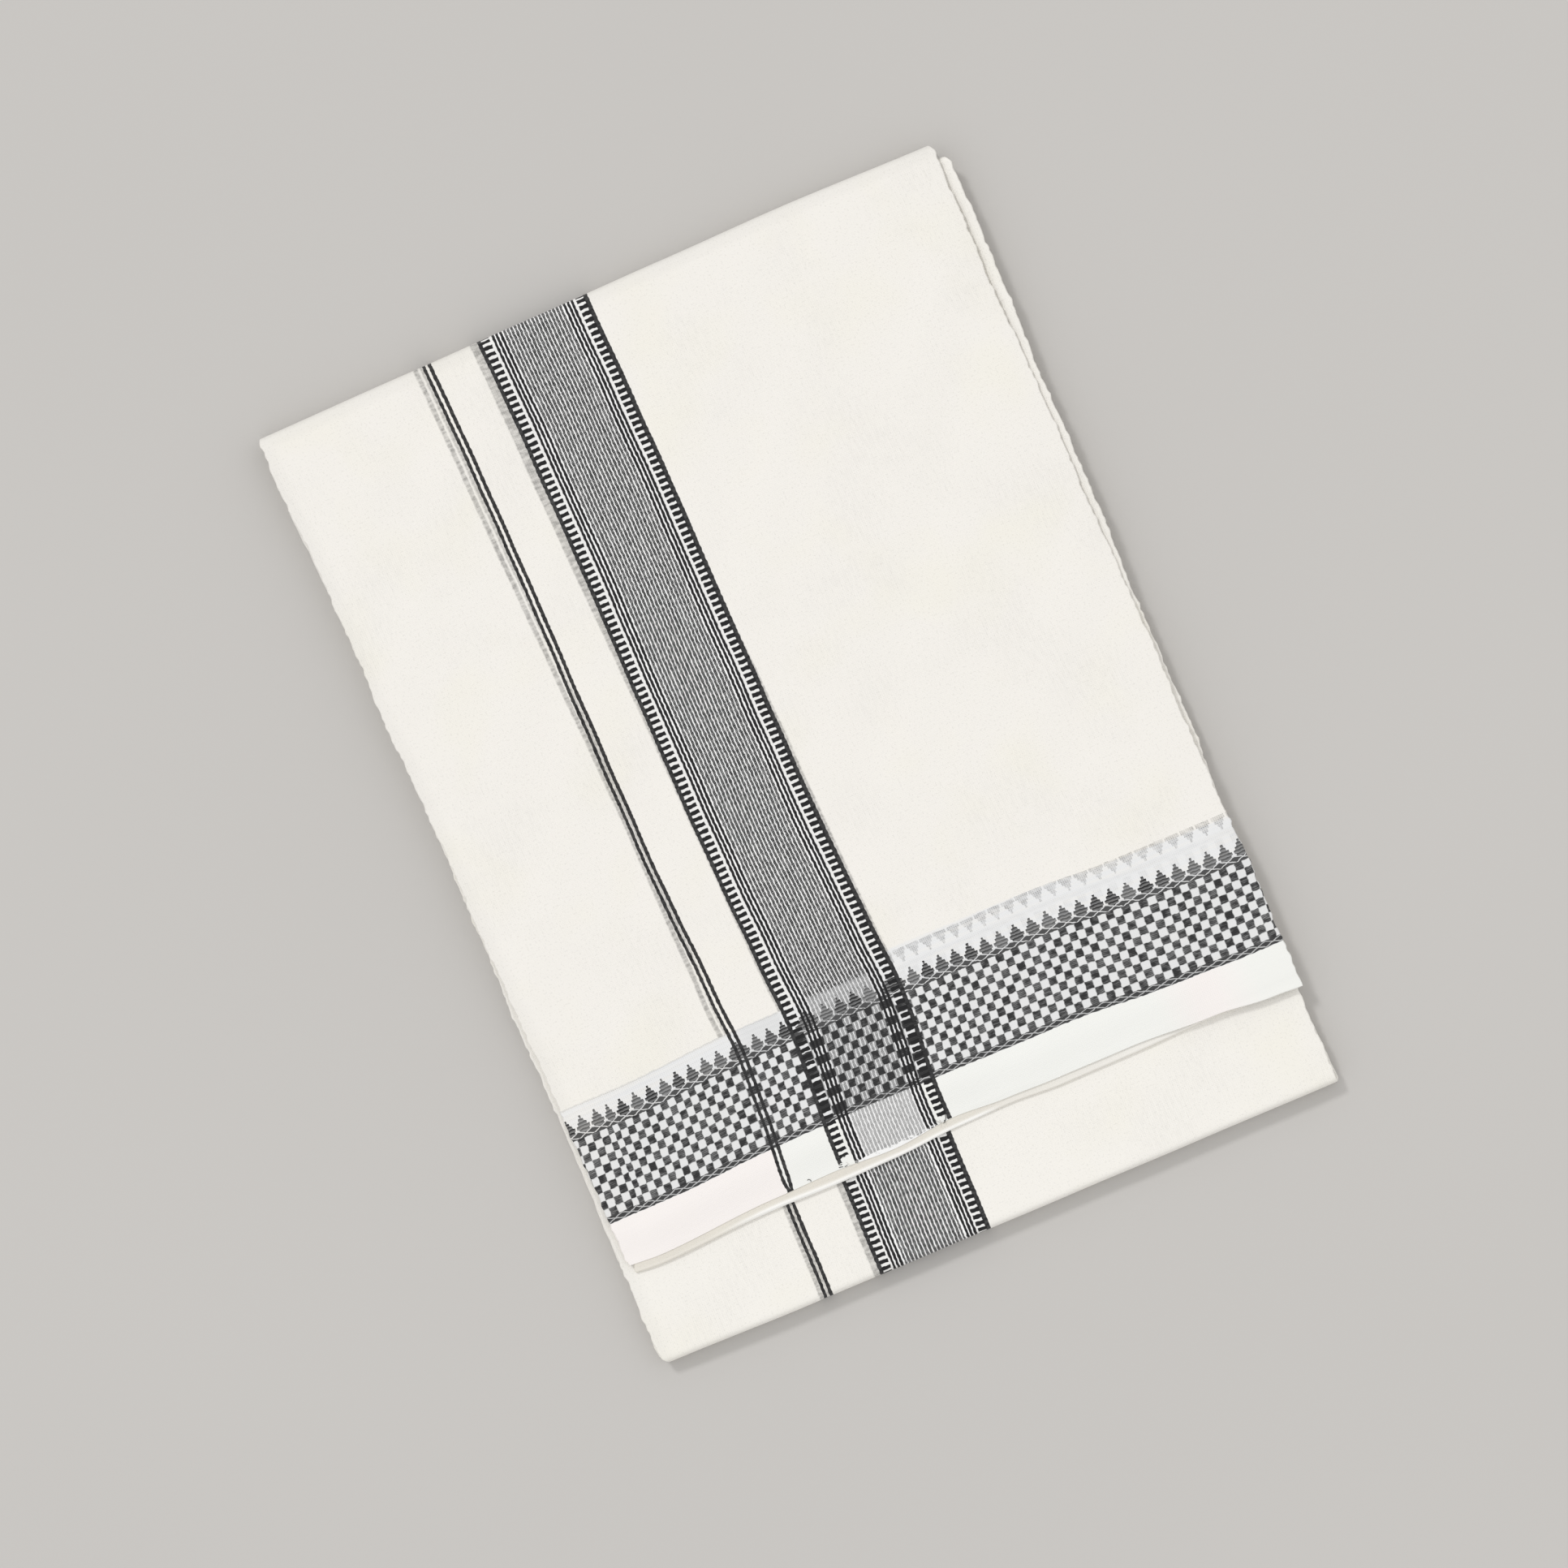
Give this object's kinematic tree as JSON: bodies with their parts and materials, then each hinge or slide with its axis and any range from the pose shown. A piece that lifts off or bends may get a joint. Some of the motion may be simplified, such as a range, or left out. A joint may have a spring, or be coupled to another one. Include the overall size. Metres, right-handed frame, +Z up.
{
  "type": "folded dhoti cloth",
  "caption": "White cotton dhoti folded into a flat packet, with a black ladder-edged border, a thin stripe and a checked end band with temple points.",
  "frame": {"origin": "middle of the folded packet's outline, on the surface it rests on", "axes": "+X towards the packet's right side edge, +Y towards its top fold, +Z up, through the layers"},
  "size_m": [0.2166, 0.2963, 0.0099],
  "materials": {
    "white_cotton": "matte plain weave"
  },
  "bodies": {
    "root": {"end_flap": "white_cotton", "lower_flap": "white_cotton", "outer_wrap": "white_cotton", "folded_core": "white_cotton"}
  },
  "joints": []
}
